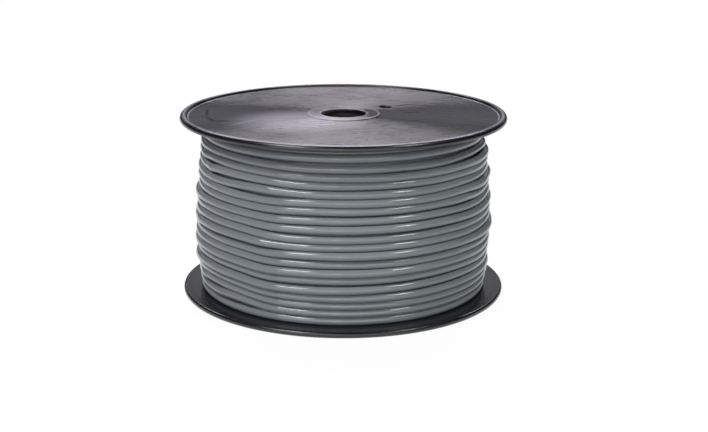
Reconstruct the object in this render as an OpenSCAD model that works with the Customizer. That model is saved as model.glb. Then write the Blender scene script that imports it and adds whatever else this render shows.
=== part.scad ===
// Wire spool: two moulded flanges joined by a barrel and an arbor tube, wound full of
// insulated stranded wire. Origin at the centre of the base, +Z up along the spool's axis.

/* [Flanges] */
// Outer diameter of each flange
flange_d = 140; // [125:1:180]
// Thickness of the flat web
web_t = 1.4; // [1.2:0.1:3]
// Height of the rim bead above the web, on the outside
bead_h = 1.2; // [1:0.1:1.8]
// Width of the rim bead, from its inner wall to the edge
bead_w = 3; // [2.6:0.1:6]
// Rounding of the bead's inner shoulder
bead_shoulder = 0.4; // [0.2:0.1:0.5]
// Fillet between the bead's inner wall and the web
bead_foot = 0.5; // [0.2:0.1:0.5]
// Rounding of the rim's edge on the outside, the rest of its thickness on the winding side
edge_round = 1.6; // [1:0.1:1.8]
// Diameter of the raised boss round the bore
boss_d = 31.6; // [26:0.2:40]
// Height of the boss above the web, less than the bead's
boss_h = 0.5; // [0.2:0.1:0.6]
// Rounding of the bore's mouth
mouth_r = 0.5; // [0.2:0.1:1]

/* [Start hole] */
// Diameter of the hole for the wire's inner end
start_hole_d = 5.5; // [4:0.1:8]
// Web left between this hole and the barrel
start_hole_gap = 0.25; // [0.2:0.05:3]
// Angle of the hole round the axis
start_hole_angle = 43; // [0:1:359]
// Chamfer at the hole's mouth
start_hole_chamfer = 0.4; // [0.1:0.1:0.8]

/* [Barrel and arbor] */
// Distance between the two webs, which the wire fills
traverse_w = 72.8; // [50:0.2:80]
// Outer diameter of the barrel that the wire is wound on
barrel_d = 44.4; // [42:0.2:60]
// Wall of the barrel
barrel_wall = 2.2; // [1.6:0.1:3]
// Bore for the rod that the spool turns on
bore_d = 19.05; // [12:0.05:20]
// Wall of the arbor tube
arbor_wall = 1.8; // [1.2:0.1:2.2]

/* [Joints inside the barrel] */
// Height of the ring that the barrel fits over
spigot_h = 7; // [5:0.5:12]
// Wall of that ring
spigot_wall = 1.8; // [1.2:0.1:2.2]
// Height of the collar that holds the arbor tube
collar_h = 9; // [5:0.5:15]
// Wall of that collar
collar_wall = 1.8; // [1.2:0.1:2.2]
// Thickness of each radial rib
rib_t = 1.6; // [1:0.1:2.5]
// Height of the ribs above the web
rib_h = 5; // [3:0.5:5]
// Number of ribs
rib_count = 6; // [3:1:12]
// Width of the keys that stop the barrel turning
key_w = 4; // [3:0.1:8]
// Height of the keys above the web
key_h = 4; // [2:0.5:5]
// Number of keys in each joint
key_count = 3; // [2:1:4]
// Clearance in the bonded joints
fit_gap = 0.1; // [0.05:0.05:0.2]

/* [Wire] */
// Outer diameter of the insulated wire
wire_d = 3.4; // [3:0.1:5]
// Least distance planned between neighbouring turns
turn_gap = 0.5; // [0.5:0.02:1.5]
// Distance from the flange's edge to the crest of the winding
fill_margin = 6.6; // [6:0.2:20]
// How much lower the winding lies near the flanges than at its crest
crown = 2.8; // [0:0.1:4]
// How far the crest lies below the middle of the traverse
crest_drop = 3; // [0:0.5:10]
// Clearance between the first and last turns and the webs
side_gap = 0.2; // [0.2:0.05:1]
// How far a turn wanders along the drum
waver = 0.04; // [0:0.01:0.05]
// How far a turn rises and sinks on the turns below
lift = 0.4; // [0:0.05:0.5]
// Angle round the axis at which the outer layer starts and ends
tail_angle = 104; // [0:1:359]
// Diameter of one copper strand
strand_d = 0.44; // [0.3:0.02:0.48]
// How far the cut strands stand out of the insulation
strand_reach = 0.8; // [0.3:0.1:2]

/* [Hidden] */

eps = 0.01;
embed = 0.5;                                    // how deep a rib or key is rooted
seat_gap = 0.1;                                 // left over and beside the inner layers
web_low = bead_h;                               // outer face of the bottom web
web_top = bead_h + web_t;                       // its winding side, flat to the rim's edge
overall_h = traverse_w + 2 * web_top;
rim_r = flange_d / 2;
bead_r = rim_r - bead_w;
boss_low = web_low - boss_h;
bore_r = bore_d / 2;
arbor_r = bore_r + arbor_wall;
collar_in_r = arbor_r + fit_gap;
collar_r = collar_in_r + collar_wall;
barrel_r = barrel_d / 2;
barrel_in_r = barrel_r - barrel_wall;
spigot_r = barrel_in_r - fit_gap;
spigot_in_r = spigot_r - spigot_wall;
lead_in = 0.5;                                  // chamfer that guides the tubes on
start_hole_at = barrel_r + start_hole_gap + start_hole_d / 2;

// The outer layer is a six-sided tube whose flats face its neighbours.
sides = 6;
rings = 24;                                     // in each loop
max_loops = 24;
bend_step = 15;                                 // degrees between the rings of the bend
crown_steps = 16;
wire_r = wire_d / 2;
wire_flat = wire_d * cos(180 / sides);          // across the flats
lay_w = traverse_w - wire_d - 2 * side_gap;
loops = min(max_loops, floor(lay_w / (wire_flat + turn_gap)));
pitch = lay_w / loops;
lay_low = web_top + side_gap + wire_r;          // centre of the first turn
crest_z = lay_low + lay_w / 2 - crest_drop;
crest_r = rim_r - fill_margin - wire_r - lift;  // centre of the widest turn
bend_r = 1.5 * wire_d;                          // where the wire comes up from below
waver_rate = 0.37;                              // waves in each turn, so neighbours differ
lift_rate = 0.31;
chord_dip = crest_r * (1 - cos(180 / rings));   // how far a chord cuts inside its circle
strand_pitch = strand_d + 0.02;
strand_rings = 2;                               // one strand, then 6 and 12 round it

plastic = [0.13, 0.13, 0.14];
insulation = [0.48, 0.5, 0.52];
copper = [0.78, 0.45, 0.28];

function arc(x, y, r, from, to, steps = 5) =
    [for (i = [0 : steps]) let (a = from + (to - from) * i / steps) [x + r * cos(a), y + r * sin(a)]];

// Half section of a flange, outside down: radius across, height up.
function flange_outline() =
    let (boss_s = boss_h / 2, back_round = web_top - edge_round)
    concat(
        arc(bore_r + mouth_r, boss_low + mouth_r, mouth_r, 180, 270),
        arc(boss_d / 2 - boss_s, boss_low + boss_s, boss_s, 270, 360),
        arc(boss_d / 2 + boss_s, boss_low + boss_s, boss_s, 180, 90),
        arc(bead_r - bead_foot, web_low - bead_foot, bead_foot, 90, 0),
        arc(bead_r + bead_shoulder, bead_shoulder, bead_shoulder, 180, 270),
        arc(rim_r - edge_round, edge_round, edge_round, 270, 360, 10),
        arc(rim_r - back_round, edge_round, back_round, 9, 90, 7),
        [[spigot_r, web_top],
         [spigot_r, web_top + spigot_h - lead_in],
         [spigot_r - lead_in, web_top + spigot_h],
         [spigot_in_r, web_top + spigot_h],
         [spigot_in_r, web_top],
         [collar_r, web_top],
         [collar_r, web_top + collar_h],
         [collar_in_r + lead_in, web_top + collar_h],
         [collar_in_r, web_top + collar_h - lead_in],
         [collar_in_r, web_top],
         [bore_r, web_top]]);

module radial_bar(from_r, to_r, width, height) {
    translate([from_r, -width / 2, web_top - embed])
        cube([to_r - from_r, width, height + embed]);
}

module flange() {
    color(plastic)
    difference() {
        union() {
            rotate_extrude($fn = 180) polygon(flange_outline());
            for (i = [0 : rib_count - 1])
                rotate(i * 360 / rib_count)
                    radial_bar(collar_r - embed, spigot_in_r + embed, rib_t, rib_h);
            for (i = [0 : key_count - 1])
                rotate((i + 0.5) * 360 / key_count)
                    radial_bar(spigot_r - embed, barrel_r - fit_gap, key_w, key_h);
        }
        rotate(start_hole_angle)
            translate([start_hole_at, 0, 0])
                start_hole();
    }
}

module start_hole() {
    translate([0, 0, -eps])
        cylinder(d = start_hole_d, h = web_top + 2 * eps, $fn = 48);
    translate([0, 0, web_low - eps])
        cylinder(r1 = start_hole_d / 2 + start_hole_chamfer + eps, r2 = start_hole_d / 2,
                 h = start_hole_chamfer + eps, $fn = 48);
}

module bottom_flange() {
    flange();
}

module top_flange() {
    translate([0, 0, overall_h])
        mirror([0, 0, 1])
            flange();
}

// A plain tube between the webs, with a slot at each end for every key.
module barrel() {
    color(plastic)
    translate([0, 0, web_top])
    difference() {
        cylinder(r = barrel_r, h = traverse_w, $fn = 120);
        translate([0, 0, -eps])
            cylinder(r = barrel_in_r, h = traverse_w + 2 * eps, $fn = 120);
        for (i = [0 : key_count - 1])
            rotate((i + 0.5) * 360 / key_count)
                for (z = [-eps, traverse_w - key_h - fit_gap])
                    translate([barrel_in_r - embed, -key_w / 2 - fit_gap, z])
                        cube([barrel_wall + 2 * embed, key_w + 2 * fit_gap, key_h + fit_gap + eps]);
    }
}

module arbor_tube() {
    color(plastic)
    translate([0, 0, web_top])
    difference() {
        cylinder(r = arbor_r, h = traverse_w, $fn = 96);
        translate([0, 0, -eps])
            cylinder(r = bore_r, h = traverse_w + 2 * eps, $fn = 96);
    }
}

// Centre line of the outer layer, t turns from its start: a crowned drum on which
// each turn wanders a little along the axis and rises and sinks on those below.
function turn_z(t) = lay_low + pitch * t + waver * sin(360 * waver_rate * t);
function drop_at(z) = crown * pow(2 * (z - crest_z) / lay_w, 2);
function turn_r(t) = crest_r - drop_at(turn_z(t)) + lift * sin(360 * lift_rate * t);
function turn_at(t) = let (a = tail_angle + 360 * t)
    [turn_r(t) * cos(a), turn_r(t) * sin(a), turn_z(t)];
function out_dir(a) = [cos(a), sin(a), 0];
function along_dir(a) = [-sin(a), cos(a), 0];

// The tube comes straight up out of the layers below, bends onto the drum, makes its
// turns and ends in a straight cut end.
bend_centre = turn_at(0) - bend_r * out_dir(tail_angle);
well_floor = turn_at(0) - (bend_r + wire_d) * out_dir(tail_angle)
             - bend_r * along_dir(tail_angle);
cut_end = turn_at(loops) + wire_d * along_dir(tail_angle);
route = concat(
    [well_floor, well_floor + wire_r * out_dir(tail_angle)],
    [for (a = [90 : -bend_step : bend_step])
        bend_centre + bend_r * (cos(a) * out_dir(tail_angle) - sin(a) * along_dir(tail_angle))],
    [for (i = [0 : loops * rings]) turn_at(i / rings)],
    [cut_end - wire_r * along_dir(tail_angle), cut_end]);
last = len(route) - 1;

function unit(v) = v / norm(v);
function heading(i) = i == 0 ? out_dir(tail_angle)
    : i == last ? along_dir(tail_angle)
    : unit(route[i + 1] - route[i - 1]);
function ring(i) = let (
    ahead = heading(i),
    up = unit([0, 0, 1] - ahead[2] * ahead),
    side = cross(ahead, up))
    [for (k = [0 : sides - 1])
        route[i] + wire_r * (cos(k * 360 / sides) * side + sin(k * 360 / sides) * up)];

skin = [for (i = [0 : last]) ring(i)];

// Least distance between a ring's corners and those of the rings one loop further on.
gaps = [for (i = [0 : last - rings - 2], j = [i + rings - 2 : i + rings + 2], p = skin[i], q = skin[j])
        norm(p - q)];
echo(loops = loops, pitch = pitch, least_gap_of_outer_layer = min(gaps));

module tube() {
    points = [for (r = skin, p = r) p];
    walls = [for (i = [0 : last - 1], k = [0 : sides - 1])
        let (a = i * sides + k, b = i * sides + (k + 1) % sides)
        each [[a, b, b + sides], [a, b + sides, a + sides]]];
    first_cap = [for (k = [1 : sides - 2]) [0, k + 1, k]];
    last_cap = [for (k = [1 : sides - 2]) [last * sides, last * sides + k, last * sides + k + 1]];
    polyhedron(points, concat(walls, first_cap, last_cap));
}

module outer_layer() {
    color(insulation) tube();
}

// All the layers below the outer one, as one solid that follows its crown, with a well
// at one end from which the outer layer's wire comes up.
module inner_layers() {
    under = wire_r + lift + chord_dip + seat_gap;
    low = web_top;
    high = web_top + traverse_w - seat_gap;
    outline = [for (i = [0 : crown_steps])
        let (z = low + (high - low) * i / crown_steps)
        [crest_r - under - drop_at(z), z]];
    color(insulation * 0.8)
    difference() {
        rotate_extrude($fn = 144)
            polygon(concat([[barrel_r, low]], outline, [[barrel_r, high]]));
        rotate(tail_angle)
            translate([turn_r(0) - bend_r - wire_d, -bend_r - wire_r - side_gap, low - eps])
                cube([bend_r + 2 * wire_d, bend_r + wire_r + side_gap,
                      lay_low - low + wire_r + side_gap]);
    }
}

// The conductor where it shows at the cut end: a bundle in hexagonal rings.
module copper_strands() {
    color(copper)
    translate(cut_end)
        rotate([0, 0, tail_angle])
            rotate([-90, 0, 0])
                for (q = [-strand_rings : strand_rings], r = [-strand_rings : strand_rings])
                    if (abs(q + r) <= strand_rings)
                        translate([strand_pitch * (q + r / 2), strand_pitch * r * sin(60), 0])
                            cylinder(d = strand_d, h = strand_reach, $fn = 16);
}

bottom_flange();
top_flange();
barrel();
arbor_tube();
inner_layers();
outer_layer();
copper_strands();
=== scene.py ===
import math

import bpy
import numpy as np
from mathutils import Matrix, Vector


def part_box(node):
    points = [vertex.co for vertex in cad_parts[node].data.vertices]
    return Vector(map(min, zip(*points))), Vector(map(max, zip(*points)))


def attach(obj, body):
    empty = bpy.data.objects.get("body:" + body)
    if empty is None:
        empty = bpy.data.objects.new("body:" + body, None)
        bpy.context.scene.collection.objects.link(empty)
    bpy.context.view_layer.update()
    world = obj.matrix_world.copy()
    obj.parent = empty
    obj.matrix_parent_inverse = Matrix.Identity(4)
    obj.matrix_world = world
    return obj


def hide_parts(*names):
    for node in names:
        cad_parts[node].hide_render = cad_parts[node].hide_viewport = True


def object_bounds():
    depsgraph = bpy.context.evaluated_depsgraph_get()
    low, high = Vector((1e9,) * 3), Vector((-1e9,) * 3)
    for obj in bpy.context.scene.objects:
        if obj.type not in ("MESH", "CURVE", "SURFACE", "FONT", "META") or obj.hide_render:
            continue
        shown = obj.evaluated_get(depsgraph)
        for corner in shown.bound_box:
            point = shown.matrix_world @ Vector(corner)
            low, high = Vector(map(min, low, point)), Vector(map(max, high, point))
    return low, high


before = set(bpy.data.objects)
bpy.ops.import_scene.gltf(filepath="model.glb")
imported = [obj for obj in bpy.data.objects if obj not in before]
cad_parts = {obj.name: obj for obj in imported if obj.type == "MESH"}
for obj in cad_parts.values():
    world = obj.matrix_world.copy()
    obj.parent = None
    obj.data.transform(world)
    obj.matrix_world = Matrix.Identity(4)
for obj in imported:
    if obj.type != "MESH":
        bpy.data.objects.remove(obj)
cadBox = [list(corner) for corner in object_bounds()]
middleHeight = (cadBox[0][2] + cadBox[1][2]) / 2
mm = 0.001
smooth = {"interpolation_type": "SMOOTHSTEP"}
noiseRange = {"From Min": 0.3, "From Max": 0.7}     # nearly all of a noise texture lies between these


def toLinear(hexColour):
    channels = [int(hexColour[i:i + 2], 16) / 255 for i in (1, 3, 5)]
    linear = [c / 12.92 if c <= 0.04045 else ((c + 0.055) / 1.055) ** 2.4 for c in channels]
    return (*linear, 1.0)


def addNode(tree, kind, settings=None, inputs=None):
    # settings are the node's own options; an input is a value, a socket, or a node that gives its
    # first output
    node = tree.nodes.new(kind)
    for name, value in (settings or {}).items():
        setattr(node, name, value)
    for name, value in (inputs or {}).items():
        if isinstance(value, bpy.types.Node):
            value = value.outputs[0]
        if isinstance(value, bpy.types.NodeSocket):
            tree.links.new(value, node.inputs[name])
        else:
            node.inputs[name].default_value = value
    return node


def newMaterial(name):
    material = bpy.data.materials.new(name)
    material.use_nodes = True
    tree = material.node_tree
    tree.nodes.clear()
    return material, tree


def dressNode(nodeName, material):
    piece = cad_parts[nodeName]
    for slot in piece.material_slots:
        slot.material = material
    if not piece.material_slots:
        piece.data.materials.append(material)


def addMesh(name, points, faces, material, rounded=True):
    mesh = bpy.data.meshes.new(name)
    mesh.from_pydata(points, [], faces)
    mesh.update()
    mesh.polygons.foreach_set("use_smooth", [rounded] * len(mesh.polygons))
    mesh.materials.append(material)
    piece = bpy.data.objects.new(name, mesh)
    bpy.context.scene.collection.objects.link(piece)
    return piece


cameraView = {
    "distance": 601.85,         # mm from the middle of the spool
    "elevation": 14.67,         # degrees above the horizontal
    "lens": 70.07,
    "sensor": 36.0,             # mm
    "nearest": 10.0,            # mm, nothing closer is drawn
    "turnRight": 0.46,          # degrees, the spool stands a little left of the middle
    "tiltDown": 0.695,
    "roll": 0.268,
}


def placeCamera(v):
    lens = bpy.data.cameras.new("camera")
    lens.lens = v["lens"]
    lens.sensor_width = v["sensor"]
    lens.clip_start = v["nearest"] * mm
    camera = bpy.data.objects.new("camera", lens)
    bpy.context.scene.collection.objects.link(camera)
    rise = math.radians(v["elevation"])
    camera.location = (0,
                       -v["distance"] * math.cos(rise) * mm,
                       middleHeight + v["distance"] * math.sin(rise) * mm)
    pitch = Matrix.Rotation(math.radians(90 - v["elevation"] - v["tiltDown"]), 3, "X")
    yaw = Matrix.Rotation(-math.radians(v["turnRight"]), 3, "Z")
    roll = Matrix.Rotation(math.radians(v["roll"]), 3, "Z")
    camera.rotation_euler = (yaw @ pitch @ roll).to_euler()
    bpy.context.scene.camera = camera


placeCamera(cameraView)
bpy.context.scene.view_settings.view_transform = "Standard"
print("camera placed")


# Azimuth is counted from the camera's side to the right, size is the width and height in degrees as
# seen from the spool, and a level of 1 is as bright as white paper.
lamps = {
    "keyLeft": {"azimuth": -51, "elevation": 53, "size": (21, 11), "level": 17.0, "tint": "#ffffff"},
    "keyRight": {"azimuth": 61, "elevation": 52, "size": (13, 10), "level": 19.0, "tint": "#fbfff8"},
    "fillLeft": {"azimuth": -26, "elevation": 15, "size": (46, 29), "level": 2.05, "tint": "#faf7ff"},
    "fillRight": {"azimuth": 16, "elevation": 13, "size": (44, 26), "level": 1.65, "tint": "#f7fff6"},
    "backPanel": {"azimuth": 183, "elevation": 44, "size": (50, 20), "level": 5.8, "tint": "#fbf6ff"},
    "backHigh": {"azimuth": 184, "elevation": 64, "size": (24, 20), "level": 7.5, "tint": "#fbf6ff"},
    "backLow": {"azimuth": 180, "elevation": 16, "size": (60, 8), "level": 0.34, "tint": "#f4f4ff"},
}
room = {
    "lampDistance": 1.5,        # metres from the spool
    "lampPower": 4,             # watts that a square metre of lamp needs for a level of 1
    "worldTint": "#f2f4f7",
    "worldLevel": 0.03,
    "floorSize": 8.0,           # metres
    "floorSeen": "#fafafa",
    "floorBounce": "#a8a8a8",   # the floor as it lights the spool from below
    "floorLift": 0.92,          # share of plain white in the floor as it is seen
}


def placeLamps(lampSet, r):
    for name, lamp in lampSet.items():
        azimuth = math.radians(lamp["azimuth"])
        rise = math.radians(lamp["elevation"])
        away = Vector((math.sin(azimuth) * math.cos(rise),
                       -math.cos(azimuth) * math.cos(rise),
                       math.sin(rise)))
        data = bpy.data.lights.new(name, "AREA")
        data.shape = "RECTANGLE"
        data.size, data.size_y = (2 * r["lampDistance"] * math.tan(math.radians(spread / 2))
                                  for spread in lamp["size"])
        data.energy = lamp["level"] * r["lampPower"] * data.size * data.size_y
        data.color = toLinear(lamp["tint"])[:3]
        body = bpy.data.objects.new(name, data)
        body.location = Vector((0, 0, middleHeight)) + away * r["lampDistance"]
        body.rotation_euler = away.to_track_quat("Z", "Y").to_euler()
        bpy.context.scene.collection.objects.link(body)


def setWorld(r):
    world = bpy.data.worlds.new("studio")
    world.use_nodes = True
    tree = world.node_tree
    tree.nodes.clear()
    glow = addNode(tree, "ShaderNodeBackground", {},
                   {"Color": toLinear(r["worldTint"]), "Strength": r["worldLevel"]})
    addNode(tree, "ShaderNodeOutputWorld", {}, {"Surface": glow})
    bpy.context.scene.world = world


def makeFloor(r):
    # matt white paper sweep: an even white that keeps the soft shadow
    material, tree = newMaterial("paperSweep")
    path = addNode(tree, "ShaderNodeLightPath")
    seen = addNode(tree, "ShaderNodeMath", {"operation": "MAXIMUM"},
                   {0: path.outputs["Is Camera Ray"], 1: path.outputs["Is Glossy Ray"]})
    seen = addNode(tree, "ShaderNodeMath", {"operation": "MAXIMUM"},
                   {0: seen, 1: path.outputs["Is Transmission Ray"]})
    tone = addNode(tree, "ShaderNodeMix", {"data_type": "RGBA"},
                   {0: seen, 6: toLinear(r["floorBounce"]), 7: toLinear(r["floorSeen"])}).outputs[2]
    paper = addNode(tree, "ShaderNodeBsdfDiffuse", {}, {"Color": tone})
    white = addNode(tree, "ShaderNodeEmission", {}, {"Color": (1, 1, 1, 1), "Strength": 1.0})
    lift = addNode(tree, "ShaderNodeMath", {"operation": "MULTIPLY"}, {0: seen, 1: r["floorLift"]})
    mix = addNode(tree, "ShaderNodeMixShader", {}, {0: lift, 1: paper, 2: white})
    addNode(tree, "ShaderNodeOutputMaterial", {}, {"Surface": mix})
    half = r["floorSize"] / 2
    corners = [(-half, -half, 0), (half, -half, 0), (half, half, 0), (-half, half, 0)]
    floor = addMesh("floor", corners, [(0, 1, 2, 3)], material, rounded=False)


placeLamps(lamps, room)
setWorld(room)
makeFloor(room)
print("lamps and floor placed")


polystyrene = {
    "colour": "#121217",
    # dark grey of rubbed plastic, which also carries part of the painted sheen beside the boss
    "wornAndSheenGrey": "#26262c",
    "paleWearAndHighlight": "#a09da6",    # where handling has whitened an edge or a scratch; also the painted highlight of the edges and the painted sheen beside the boss
    "moulded": 0.15,            # roughness of the winding side, straight from a polished mould
    "handled": 0.24,            # roughness of the rim
    "scuffed": 0.30,            # roughness of the outer side, which rubs on shelves
    "cloudSpread": 0.03,        # how far the outer side's roughness wanders in clouds
    "streakSpread": 0.05,       # and in fine streaks
    "torn": 0.6,                # how much rougher a scratch is
    "ior": 1.59,
    "specular": 0.5,
    "anisotropy": 0.95,         # of the outer side, along its turning marks
    "sheenTurn": 0.25,          # of a full turn, which draws the sheen out across those marks
    "outerDepth": 1.9,          # mm from either end, what counts as the outer side
    "outerBlend": 0.2,          # mm over which it begins
    "flatness": (0.4, 0.7),     # walls of holes aren't scuffed: upright part of the normal, none and all
    "mottle": 16.0,             # mm across one cloud of gloss
    "streak": (11.0, 1.3),      # mm, length and width of fine rubbed streaks
    "rimRadius": 66.0,          # mm, where the rim begins
    "rimBlend": 0.6,            # mm
    "edgeRadius": 68.9,         # mm, from here on the rim's rounded edge is never scuffed
    "edgeBlend": 0.3,           # mm
    # edges rubbed grey, with a painted highlight where each edge would catch the light: radius, width in mm,
    # strength
    "ringWearAndHighlights": [(15.2, 0.8, 0.5), (10.2, 0.6, 0.5), (66.5, 0.5, 0.7), (68.2, 0.9, 0.5)],
    # marks on the upper flange: middle in mm, angle in degrees, length and width in mm, strength
    "paintedSheenPatch": (-19.0, -15.0, 20.0, 74.0, 60.0, 0.7),      # painted sheen: a pale area beside the boss in place of the glow of reflected light there, where a spindle's washer rubs
    "darkScratches": [(-58.8, 2.2, -85, 24, 2.0, 0.9), (-56.2, -11.8, -65, 14, 2.8, 0.9),
                      (-50.9, -15.6, -4, 15, 4.2, 0.95), (-42.8, -15.2, 6, 15, 4.2, 0.95),
                      (-37.3, -10.6, 50, 15, 2.8, 0.9), (26.6, 21.3, 27, 16, 3.2, 0.9),
                      (29.2, 4.2, 7, 13, 3.2, 0.9), (17.3, -24.0, 53, 10, 1.2, 0.8),
                      (9.1, -52.4, 0, 1.6, 3.0, 0.95)],
    "lightScratches": [(-41.8, -18.7, 50, 26, 2.0, 0.4), (-47.0, 22.0, 14, 24, 2.4, 0.2)],
    "markDepth": 10.0,          # mm, a mark stays on the upper flange
    "markCore": 0.2,            # share of a mark's size that has its full strength
}


def farFromMark(tree, place, mark, depth):
    # how far a spot is from the middle of an oval mark, 1 at its edge
    x, y, angle, length, width = mark[:5]
    fitted = addNode(tree, "ShaderNodeMapping", {"vector_type": "TEXTURE"},
                     {"Vector": place, "Location": (x * mm, y * mm, cadBox[1][2]),
                      "Rotation": (0, 0, math.radians(angle)),
                      "Scale": (length / 2 * mm, width / 2 * mm, depth / 2 * mm)})
    return addNode(tree, "ShaderNodeVectorMath", {"operation": "LENGTH"}, {0: fitted}).outputs["Value"]


def mouldedPolystyrene(p):
    # high-impact polystyrene from a turned mould: black, with a broad sheen drawn out across the turning
    # marks, glossy where the wire lies and rubbed satin on the outside
    material, tree = newMaterial("mouldedPolystyrene")
    place = addNode(tree, "ShaderNodeTexCoord").outputs["Object"]
    height = addNode(tree, "ShaderNodeSeparateXYZ", {}, {0: place}).outputs["Z"]
    fromMiddle = addNode(tree, "ShaderNodeMath", {"operation": "SUBTRACT"}, {0: height, 1: middleHeight})
    fromMiddle = addNode(tree, "ShaderNodeMath", {"operation": "ABSOLUTE"}, {0: fromMiddle})
    level = addNode(tree, "ShaderNodeVectorMath", {"operation": "MULTIPLY"}, {0: place, 1: (1, 1, 0)})
    radius = addNode(tree, "ShaderNodeVectorMath", {"operation": "LENGTH"}, {0: level}).outputs["Value"]

    # outside is 1 on the flat of the outer side and 0 elsewhere
    edge = p["edgeRadius"] * mm
    face = cadBox[1][2] - middleHeight - p["outerDepth"] * mm
    flat, upright = p["flatness"]
    outside = addNode(tree, "ShaderNodeMapRange", smooth,
                      {"Value": radius, "From Min": edge, "From Max": edge + p["edgeBlend"] * mm,
                       "To Min": 1.0, "To Max": 0.0})
    outside = addNode(tree, "ShaderNodeMapRange", smooth,
                      {"Value": fromMiddle, "From Min": face - p["outerBlend"] * mm, "From Max": face,
                       "To Max": outside})
    normal = addNode(tree, "ShaderNodeNewGeometry").outputs["Normal"]
    tilt = addNode(tree, "ShaderNodeSeparateXYZ", {}, {0: normal}).outputs["Z"]
    tilt = addNode(tree, "ShaderNodeMath", {"operation": "ABSOLUTE"}, {0: tilt})
    outside = addNode(tree, "ShaderNodeMapRange", smooth,
                      {"Value": tilt, "From Min": flat, "From Max": upright, "To Max": outside})

    clouds = addNode(tree, "ShaderNodeTexNoise", {},
                     {"Vector": place, "Scale": 1000 / p["mottle"], "Detail": 4.0})
    length, width = p["streak"]
    drawn = addNode(tree, "ShaderNodeMapping", {},
                    {"Vector": place, "Scale": (1000 / length, 1000 / width, 0)})
    streaks = addNode(tree, "ShaderNodeTexNoise", {}, {"Vector": drawn, "Scale": 1.0, "Detail": 3.0})
    cloudy = addNode(tree, "ShaderNodeMapRange", smooth,
                     {"Value": clouds, **noiseRange,
                      "To Min": p["scuffed"] - p["cloudSpread"], "To Max": p["scuffed"] + p["cloudSpread"]})
    streaky = addNode(tree, "ShaderNodeMapRange", smooth,
                      {"Value": streaks, **noiseRange,
                       "To Min": -p["streakSpread"], "To Max": p["streakSpread"]})
    rubbed = addNode(tree, "ShaderNodeMath", {"operation": "ADD"}, {0: cloudy, 1: streaky})
    rim = p["rimRadius"] * mm
    plain = addNode(tree, "ShaderNodeMapRange", smooth,
                    {"Value": radius, "From Min": rim, "From Max": rim + p["rimBlend"] * mm,
                     "To Min": p["moulded"], "To Max": p["handled"]})
    gloss = addNode(tree, "ShaderNodeMapRange", {}, {"Value": outside, "To Min": plain, "To Max": rubbed})

    # rubbing greys the black in streaks and clouds, and a painted sheen lightens it most beside the boss
    paleWearAndHighlight = toLinear(p["paleWearAndHighlight"])
    core = p["markCore"]
    # painted sheen: a pale area beside the boss stands in for the glow of reflected light there
    off = farFromMark(tree, place, p["paintedSheenPatch"], p["markDepth"])
    sheenShare = addNode(tree, "ShaderNodeMapRange", smooth,
                    {"Value": off, "From Min": core, "To Min": p["paintedSheenPatch"][-1], "To Max": 0.0})
    wearAndSheen = addNode(tree, "ShaderNodeMath", {"operation": "ADD"}, {0: streaks, 1: sheenShare})
    wearAndSheen = addNode(tree, "ShaderNodeMath", {"operation": "MULTIPLY"}, {0: wearAndSheen, 1: outside})
    wearAndSheen = addNode(tree, "ShaderNodeMath", {"operation": "MULTIPLY"}, {0: wearAndSheen, 1: clouds})
    tone = addNode(tree, "ShaderNodeMix", {"data_type": "RGBA"},
                   {0: wearAndSheen, 6: toLinear(p["colour"]), 7: toLinear(p["wornAndSheenGrey"])}).outputs[2]
    tone = addNode(tree, "ShaderNodeMix", {"data_type": "RGBA"},
                   {0: sheenShare, 6: tone, 7: paleWearAndHighlight}).outputs[2]
    for scratch in p["lightScratches"]:
        off = farFromMark(tree, place, scratch, p["markDepth"])
        share = addNode(tree, "ShaderNodeMapRange", smooth,
                        {"Value": off, "From Min": core, "To Min": scratch[-1], "To Max": 0.0})
        tone = addNode(tree, "ShaderNodeMix", {"data_type": "RGBA"},
                       {0: share, 6: tone, 7: paleWearAndHighlight}).outputs[2]
    # pale rings on the boss, the bore's mouth and the rim: rubbed grey, and a painted highlight of each edge
    for at, width, strength in p["ringWearAndHighlights"]:
        off = addNode(tree, "ShaderNodeMath", {"operation": "SUBTRACT"}, {0: radius, 1: at * mm})
        off = addNode(tree, "ShaderNodeMath", {"operation": "ABSOLUTE"}, {0: off})
        ring = addNode(tree, "ShaderNodeMapRange", smooth,
                       {"Value": off, "From Max": width * mm, "To Min": strength, "To Max": 0.0})
        ring = addNode(tree, "ShaderNodeMath", {"operation": "MULTIPLY"}, {0: ring, 1: outside})
        tone = addNode(tree, "ShaderNodeMix", {"data_type": "RGBA"},
                       {0: ring, 6: tone, 7: paleWearAndHighlight}).outputs[2]

    # a scratch is rough and has lost its sheen
    sheen = addNode(tree, "ShaderNodeValue")
    sheen.outputs[0].default_value = 1.0
    for scratch in p["darkScratches"]:
        off = farFromMark(tree, place, scratch, p["markDepth"])
        left = addNode(tree, "ShaderNodeMapRange", smooth,
                       {"Value": off, "From Min": core, "To Min": 1 - scratch[-1], "To Max": 1.0})
        sheen = addNode(tree, "ShaderNodeMath", {"operation": "MULTIPLY"}, {0: sheen, 1: left})
    torn = addNode(tree, "ShaderNodeMapRange", {}, {"Value": sheen, "To Min": p["torn"], "To Max": 0.0})
    rough = addNode(tree, "ShaderNodeMath", {"operation": "ADD"}, {0: gloss, 1: torn})
    level = addNode(tree, "ShaderNodeMath", {"operation": "MULTIPLY"}, {0: sheen, 1: p["specular"]})
    drawnOut = addNode(tree, "ShaderNodeMath", {"operation": "MULTIPLY"}, {0: outside, 1: p["anisotropy"]})
    around = addNode(tree, "ShaderNodeTangent", {"direction_type": "RADIAL", "axis": "Z"})
    shader = addNode(tree, "ShaderNodeBsdfPrincipled", {},
                     {"Base Color": tone, "Roughness": rough, "IOR": p["ior"], "Specular IOR Level": level,
                      "Anisotropic": drawnOut, "Anisotropic Rotation": p["sheenTurn"], "Tangent": around})
    addNode(tree, "ShaderNodeOutputMaterial", {}, {"Surface": shader})
    return material


tube = {
    "colour": "#0c0c0e",
    "roughness": 0.6,
    "roughnessSpread": 0.05,
    "ior": 1.59,
    "mottle": 3.0,              # mm
}


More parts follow.
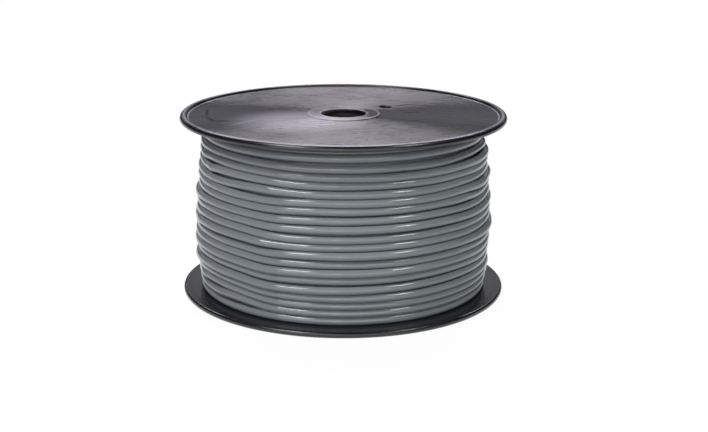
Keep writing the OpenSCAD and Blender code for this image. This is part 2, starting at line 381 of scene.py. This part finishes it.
def extrudedPolystyrene(p):
    # polystyrene tube, extruded and left matt: swallows the light in the bore
    material, tree = newMaterial("extrudedPolystyrene")
    place = addNode(tree, "ShaderNodeTexCoord").outputs["Object"]
    clouds = addNode(tree, "ShaderNodeTexNoise", {},
                     {"Vector": place, "Scale": 1000 / p["mottle"], "Detail": 3.0})
    gloss = addNode(tree, "ShaderNodeMapRange", smooth,
                    {"Value": clouds, **noiseRange,
                     "To Min": p["roughness"] - p["roughnessSpread"],
                     "To Max": p["roughness"] + p["roughnessSpread"]})
    shader = addNode(tree, "ShaderNodeBsdfPrincipled", {},
                     {"Base Color": toLinear(p["colour"]), "Roughness": gloss, "IOR": p["ior"]})
    addNode(tree, "ShaderNodeOutputMaterial", {}, {"Surface": shader})
    return material


pvc = {
    "colour": "#74797d",
    "otherColour": "#7a7f83",
    "roughness": 0.11,
    "roughnessSpread": 0.03,
    "ior": 1.53,
    "mottle": 9.0,              # mm
    "streakLength": 40.0,       # mm, marks of the extruder's die run along the wire
    "streakWidth": 0.5,         # mm
    "streakDepth": 0.02,        # mm
    "streakStrength": 0.04,
}


def extrudedPvc(p):
    # PVC insulation, extruded: a soft, slightly greasy gloss with faint marks drawn out along the wire
    material, tree = newMaterial("extrudedPvc")
    place = addNode(tree, "ShaderNodeTexCoord").outputs["Object"]
    clouds = addNode(tree, "ShaderNodeTexNoise", {},
                     {"Vector": place, "Scale": 1000 / p["mottle"], "Detail": 3.0})
    along, across = 1000 / p["streakLength"], 1000 / p["streakWidth"]
    drawn = addNode(tree, "ShaderNodeMapping", {}, {"Vector": place, "Scale": (along, along, across)})
    streaks = addNode(tree, "ShaderNodeTexNoise", {}, {"Vector": drawn, "Scale": 1.0, "Detail": 3.0})
    gloss = addNode(tree, "ShaderNodeMapRange", smooth,
                    {"Value": streaks, **noiseRange,
                     "To Min": p["roughness"] - p["roughnessSpread"],
                     "To Max": p["roughness"] + p["roughnessSpread"]})
    bump = addNode(tree, "ShaderNodeBump", {},
                   {"Height": streaks, "Strength": p["streakStrength"], "Distance": p["streakDepth"] * mm})
    tone = addNode(tree, "ShaderNodeMix", {"data_type": "RGBA"},
                   {0: clouds, 6: toLinear(p["colour"]), 7: toLinear(p["otherColour"])}).outputs[2]
    shader = addNode(tree, "ShaderNodeBsdfPrincipled", {},
                     {"Base Color": tone, "Roughness": gloss, "IOR": p["ior"], "Normal": bump})
    addNode(tree, "ShaderNodeOutputMaterial", {}, {"Surface": shader})
    return material


copper = {
    "colour": "#c8754f",
    "dullColour": "#a65f42",
    "roughness": 0.28,
    "mottle": 0.3,              # mm
}


def drawnCopper(p):
    # bare copper strands, drawn: warm metal, a little dulled by air
    material, tree = newMaterial("drawnCopper")
    place = addNode(tree, "ShaderNodeTexCoord").outputs["Object"]
    clouds = addNode(tree, "ShaderNodeTexNoise", {},
                     {"Vector": place, "Scale": 1000 / p["mottle"], "Detail": 2.0})
    tone = addNode(tree, "ShaderNodeMix", {"data_type": "RGBA"},
                   {0: clouds, 6: toLinear(p["colour"]), 7: toLinear(p["dullColour"])}).outputs[2]
    shader = addNode(tree, "ShaderNodeBsdfPrincipled", {},
                     {"Base Color": tone, "Metallic": 1.0, "Roughness": p["roughness"]})
    addNode(tree, "ShaderNodeOutputMaterial", {}, {"Surface": shader})
    return material


flangeBlack = mouldedPolystyrene(polystyrene)
wireGrey = extrudedPvc(pvc)
strandCopper = drawnCopper(copper)
tubeBlack = extrudedPolystyrene(tube)
for nodeName in ("bottom_flange", "top_flange"):
    dressNode(nodeName, flangeBlack)
for nodeName in ("barrel", "arbor_tube"):
    dressNode(nodeName, tubeBlack)
dressNode("copper_strands", strandCopper)
print("materials made")


winding = {
    "wire": 3.4,                # mm over the insulation
    "snug": 3.27,               # mm between turns that touch, the soft insulation gives a little
    "pressed": 3.25,            # mm between centres where one turn crosses another
    "turns": 21,                # in a layer
    "layers": 3,                # laid one by one, over a plain core
    "stations": 144,            # sections in one turn
    "sides": 14,
    "sidesBelow": 10,
    "outerRadius": 61.6,        # mm, wire centre of the outer layer where it is fullest
    "layerRise": 3.0,           # mm from one layer to the next
    "crown": 2.8,               # mm, how much fuller the middle is than the ends
    "crest": 31.0,              # mm, height of the fullest place
    "endAngle": 104.0,          # degrees, where the cut end is
    "crossing": 60.0,           # degrees in which a turn steps over to the next
    "restless": 0.45,           # turns between one looseness and the next
    "calm": 0.3,                # how much of the winding lies snug
    "leastLoose": 0.02,         # looseness that even a calm stretch has
    "snugEnds": 1.5,            # turns beside a flange that lie snug
    "slackness": (0.8, 1.3),    # mm that a slack stretch stands out, and how many times that at most
    "slackTurns": 0.3,
    "gapEase": 12.0,            # degrees in which a gap opens and closes
    "gapSpread": 0.38,          # turns
    "over": 0.9,                # mm, how far the turn above a gap stands out
    "overSpread": 1.6,          # mm
    "kinkPasses": 6,            # rounds of easing out kinks in height
    "tautPasses": 300,          # rounds of pulling a turn taut
    "lookAhead": 0.25,          # turns of the next stretch that are pulled taut with it
    "softStations": 11,         # over which the stiff wire rounds off its steps
    "gridStep": 0.1,            # mm between the heights at which the wound surface is known
    "gridMargin": 5.0,          # mm
    "seed": 3,
    "reach": 0.8,               # mm, bare copper at the cut end
    "endPieces": 3,             # straight pieces before the cut
    # where the outer turns stand apart: angle in degrees and height in mm along the gap, and its width in mm
    "gaps": [
        {"path": [(-172, 61.5), (-158, 60.8), (-148, 57.6), (-135, 56.1), (-121, 55.0), (-108, 54.6)],
         "open": 1.3},
        {"path": [(-172, 33.4), (-164, 33.5), (-141.5, 34.8), (-122.5, 33.6), (-112, 33.2)], "open": 1.0},
        {"path": [(-170, 10.2), (-161.5, 9.4), (-142.6, 6.8), (-123, 4.9)], "open": 1.3},
        {"path": [(-40, 66.0), (-32.5, 66.4), (-25, 66.9), (-14, 67.2)], "open": 0.9},
        {"path": [(-52, 48.0), (-45, 48.4), (-33, 49.6), (-21, 51.9), (-10, 53.4)], "open": 1.0},
        {"path": [(-38, 28.0), (-31, 29.0), (-15, 30.0), (-5, 30.5)], "open": 0.9},
    ],
}


def smoothNoise(rng, count, spacing):
    # one random value for each spacing, joined by a curve through them
    knots = rng.normal(0, 1, int(count / spacing) + 4)
    x = np.arange(count) / spacing + 1
    i = x.astype(int)
    f = x - i
    a, b, c, d = knots[i - 1], knots[i], knots[i + 1], knots[np.minimum(i + 2, len(knots) - 1)]
    return b + 0.5 * f * (c - a + f * (2 * a - 5 * b + 4 * c - d + f * (3 * (b - c) + d - a)))


def smoothStep(x):
    x = np.clip(x, 0, 1)
    return x * x * (3 - 2 * x)


def crownDrop(w, height, low, high):
    # how much the winding is lower at a height than at its fullest place
    return w["crown"] * ((height - w["crest"]) / (high - low) * 2) ** 2


def alongGap(w, gap, angle):
    # the gap's height at each angle and how far it is open there, from 0 at its ends to 1
    a, height = np.array(gap["path"]).T
    fade = smoothStep((angle - a[0]) / w["gapEase"]) * smoothStep((a[-1] - angle) / w["gapEase"])
    return np.interp(angle, a, height), fade


def shareGaps(w, low, high, rng, shown):
    # the open space above each turn at each station, which adds up to what the turns leave over
    n, turns = w["stations"], w["turns"]
    slack = high - low - (turns - 1) * w["snug"]
    at = np.arange(turns * n) / n
    loose = np.clip(smoothNoise(rng, turns * n, w["restless"] * n) - w["calm"], 0, None) + w["leastLoose"]
    loose *= smoothStep(at / w["snugEnds"]) * smoothStep((turns - at) / w["snugEnds"])
    loose = loose.reshape(turns, n)
    placed = np.zeros((turns, n))
    if shown:
        angle = (w["endAngle"] + w["crossing"] + 360 * np.arange(n) / n + 180) % 360 - 180
        turn = np.arange(turns)[:, None] + 0.5
        for gap in w["gaps"]:
            height, fade = alongGap(w, gap, angle)
            centre = (height - low) / (high - low) * (turns - 1)
            weight = np.exp(-((turn - centre) / w["gapSpread"]) ** 2)
            placed += gap["open"] * fade * weight / weight.sum(axis=0)
    loose *= (slack - placed[:-1].sum(axis=0)) / loose[:-1].sum(axis=0)
    return loose + placed


def layerHeights(w, layer, low, high, rng):
    # the height of the wire's centre along one layer: level turns, each stepping over to the next at
    # the back
    n = w["stations"]
    gaps = shareGaps(w, low, high, rng, layer == w["layers"] - 1)
    below = np.vstack([np.zeros(n), np.cumsum(w["snug"] + gaps[:-1], axis=0)])
    part = w["crossing"] / 360
    step = smoothStep((np.arange(n) / n - 1 + part) / part)
    z = np.minimum(low + below + step * w["snug"], high).ravel()
    return z if layer % 2 == 0 else low + high - z


def layWire(w, low, high):
    # lays the wire turn by turn, each stretch resting on what lies below it and pulled taut between
    rng = np.random.default_rng(w["seed"])
    n = w["stations"]
    z = np.concatenate([layerHeights(w, k, low, high, rng) for k in range(w["layers"])])
    for step in range(w["kinkPasses"]):
        z[1:-1] = 0.25 * z[:-2] + 0.5 * z[1:-1] + 0.25 * z[2:]
    count = len(z)
    grid = np.arange(low - w["gridMargin"], high + w["gridMargin"], w["gridStep"])
    first = w["outerRadius"] - (w["layers"] - 1) * w["layerRise"]
    support = np.tile(first - crownDrop(w, grid, low, high), (n, 1))
    r = np.zeros(count)
    place = np.arange(count) % n
    sag = math.cos(2 * math.pi / n)                        # a straight stretch cuts inside the circle
    ahead = int(w["lookAhead"] * n)
    for start in range(0, count, n):
        index = np.arange(start, min(start + n + ahead, count))
        spot = (z[index] - grid[0]) / w["gridStep"]
        cell = spot.astype(int)
        part = spot - cell
        rows = support[place[index]]
        line = np.arange(len(index))
        rest = rows[line, cell] * (1 - part) + rows[line, cell + 1] * part
        taut = rest.copy()
        before = r[start - 1] if start else rest[0]
        for step in range(w["tautPasses"]):
            padded = np.concatenate([[before], taut, [taut[-1]]])
            taut = np.maximum(rest, 0.5 * (padded[:-2] + padded[2:]) * sag)
        for k, i in enumerate(index[:n]):
            r[i] = taut[k]
            a = int((z[i] - w["pressed"] - grid[0]) / w["gridStep"]) + 1
            b = int((z[i] + w["pressed"] - grid[0]) / w["gridStep"]) + 1
            reach = np.sqrt(np.maximum(w["pressed"] ** 2 - (grid[a:b] - z[i]) ** 2, 0))
            row = support[place[i], a:b]
            np.maximum(row, r[i] + reach, out=row)
    window = np.hanning(w["softStations"])
    r = np.convolve(np.pad(r, len(window) // 2, "edge"), window / window.sum(), "valid")[:count]
    outer = (w["layers"] - 1) * w["turns"] * n
    slack, most = w["slackness"]
    r[outer:] += slack * np.clip(smoothNoise(rng, count - outer, w["slackTurns"] * n), 0, most)
    end = count - int(round(w["crossing"] / 360 * n))
    angle = math.radians(w["endAngle"]) + 2 * math.pi / n * (np.arange(end) - (end - 1))
    around = (np.degrees(angle[outer:]) + 180) % 360 - 180
    for gap in w["gaps"]:
        height, fade = alongGap(w, gap, around)
        over = np.exp(-((z[outer:end] - height - w["wire"] / 2) / w["overSpread"]) ** 2)
        r[outer:end] += w["over"] * fade * over
    return angle, r[:end], z[:end], outer


def runToCutEnd(w, angle, r, z):
    # the last stretch eases over to where the copper shows and ends straight
    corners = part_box("copper_strands")
    bundle = [(a + b) / 2 / mm for a, b in zip(*corners)]
    end = math.radians(w["endAngle"])
    x = bundle[0] + w["reach"] / 2 * math.sin(end)
    y = bundle[1] - w["reach"] / 2 * math.cos(end)
    level = x * math.cos(end) + y * math.sin(end)          # radius at which the straight end leaves the turn
    length = y * math.cos(end) - x * math.sin(end)
    easing = w["crossing"] / 360 * w["stations"]
    ease = smoothStep(1 - (len(r) - 1 - np.arange(len(r))) / easing)
    r = r + ease * (level - r)
    z = z + ease * (bundle[2] - z)
    steps = np.linspace(0, length, w["endPieces"] + 1)[1:]
    return (np.append(angle, end + np.arctan2(steps, level)),
            np.append(r, np.hypot(steps, level)),
            np.append(z, np.full(w["endPieces"], bundle[2])))


def sweep(angle, r, z, wire, sides):
    # a round tube along the wire's centre line, its points in metres and its faces
    count = len(z)
    centre = np.stack([r * np.cos(angle), r * np.sin(angle), z], axis=1)
    along = np.gradient(centre, axis=0)
    along /= np.linalg.norm(along, axis=1)[:, None]
    outward = np.stack([np.cos(angle), np.sin(angle), np.zeros(count)], axis=1)
    upward = np.cross(outward, along)
    upward /= np.linalg.norm(upward, axis=1)[:, None]
    outward = np.cross(along, upward)
    turn = np.arange(sides) / sides * 2 * math.pi
    ring = (np.cos(turn)[None, :, None] * outward[:, None, :]
            + np.sin(turn)[None, :, None] * upward[:, None, :]) * wire / 2
    points = ((centre[:, None, :] + ring).reshape(-1, 3) * mm).tolist()
    faces = []
    for i in range(count - 1):
        for j in range(sides):
            a, b = i * sides + j, i * sides + (j + 1) % sides
            faces.append((a, a + sides, b + sides, b))
    faces.append(tuple(range(sides)))
    faces.append(tuple(reversed(range((count - 1) * sides, count * sides))))
    return points, faces


core = {
    "layers": 10,               # whose turns show at each end, beside the flange
    "arcSteps": 6,
    "arcWidth": 0.87,           # of the wire, which neighbours press narrower
    "arcHeight": 0.99,
    "sideSteps": 12,
    "segments": 144,
    "startShort": 5.0,          # mm, the first layers stop short where the wire's start comes to its hole
    "startReach": 6.0,          # mm from the barrel
}


def turnCore(c, w, low, high, coreRadius):
    # what lies under the laid layers: a plain core whose ends show each layer's turn against the flange
    half = w["wire"] / 2
    inner = coreRadius + half
    full = w["outerRadius"] - w["layers"] * w["layerRise"]
    ends = []
    for height, outward in ((low, -1), (high, 1)):
        last = full - crownDrop(w, height, low, high)
        rows = []
        for layer in range(c["layers"]):
            centre = inner + (last - inner) * layer / (c["layers"] - 1)
            short = c["startShort"] if centre < inner + c["startReach"] else 0
            for s in range(c["arcSteps"] + 1):
                a = math.pi * (1 - s / c["arcSteps"])
                rise = c["arcHeight"] * half * math.sin(a) - short
                rows.append((centre + c["arcWidth"] * half * math.cos(a), height + outward * rise))
        ends.append(rows)
    side = []
    for s in range(1, c["sideSteps"]):
        height = low + (high - low) * s / c["sideSteps"]
        side.append((full + half - crownDrop(w, height, low, high), height))
    profile = ends[0] + side + ends[1][::-1]
    n, k = c["segments"], len(profile)
    points = [(x * math.cos(a) * mm, x * math.sin(a) * mm, z * mm)
              for a in (2 * math.pi * s / n for s in range(n)) for x, z in profile]
    faces = [(s * k + i, (s + 1) % n * k + i, (s + 1) % n * k + (i + 1) % k, s * k + (i + 1) % k)
             for s in range(n) for i in range(k)]
    return points, faces


def joinParts(*parts):
    points, faces = [], []
    for somePoints, someFaces in parts:
        shift = len(points)
        points += somePoints
        faces += [tuple(i + shift for i in face) for face in someFaces]
    return points, faces


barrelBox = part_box("barrel")
low = barrelBox[0][2] / mm + winding["wire"] / 2
high = barrelBox[1][2] / mm - winding["wire"] / 2
angle, wireR, wireZ, outerStart = layWire(winding, low, high)
print("wire laid: outer layer from", round(float(wireR[outerStart:].min()), 1),
      "to", round(float(wireR[outerStart:].max()), 1))
angle, wireR, wireZ = runToCutEnd(winding, angle, wireR, wireZ)
outer = addMesh("outerTurns", *sweep(angle[outerStart:], wireR[outerStart:], wireZ[outerStart:],
                                     winding["wire"], winding["sides"]), wireGrey)
below = slice(0, outerStart + 1)
under = addMesh("turnsBelow", *joinParts(
    sweep(angle[below], wireR[below], wireZ[below], winding["wire"], winding["sidesBelow"]),
    turnCore(core, winding, low, high, barrelBox[1][0] / mm)), wireGrey)
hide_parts("outer_layer")
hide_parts("inner_layers")
for piece in (outer, under):
    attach(piece, "root")
print("wire swept")
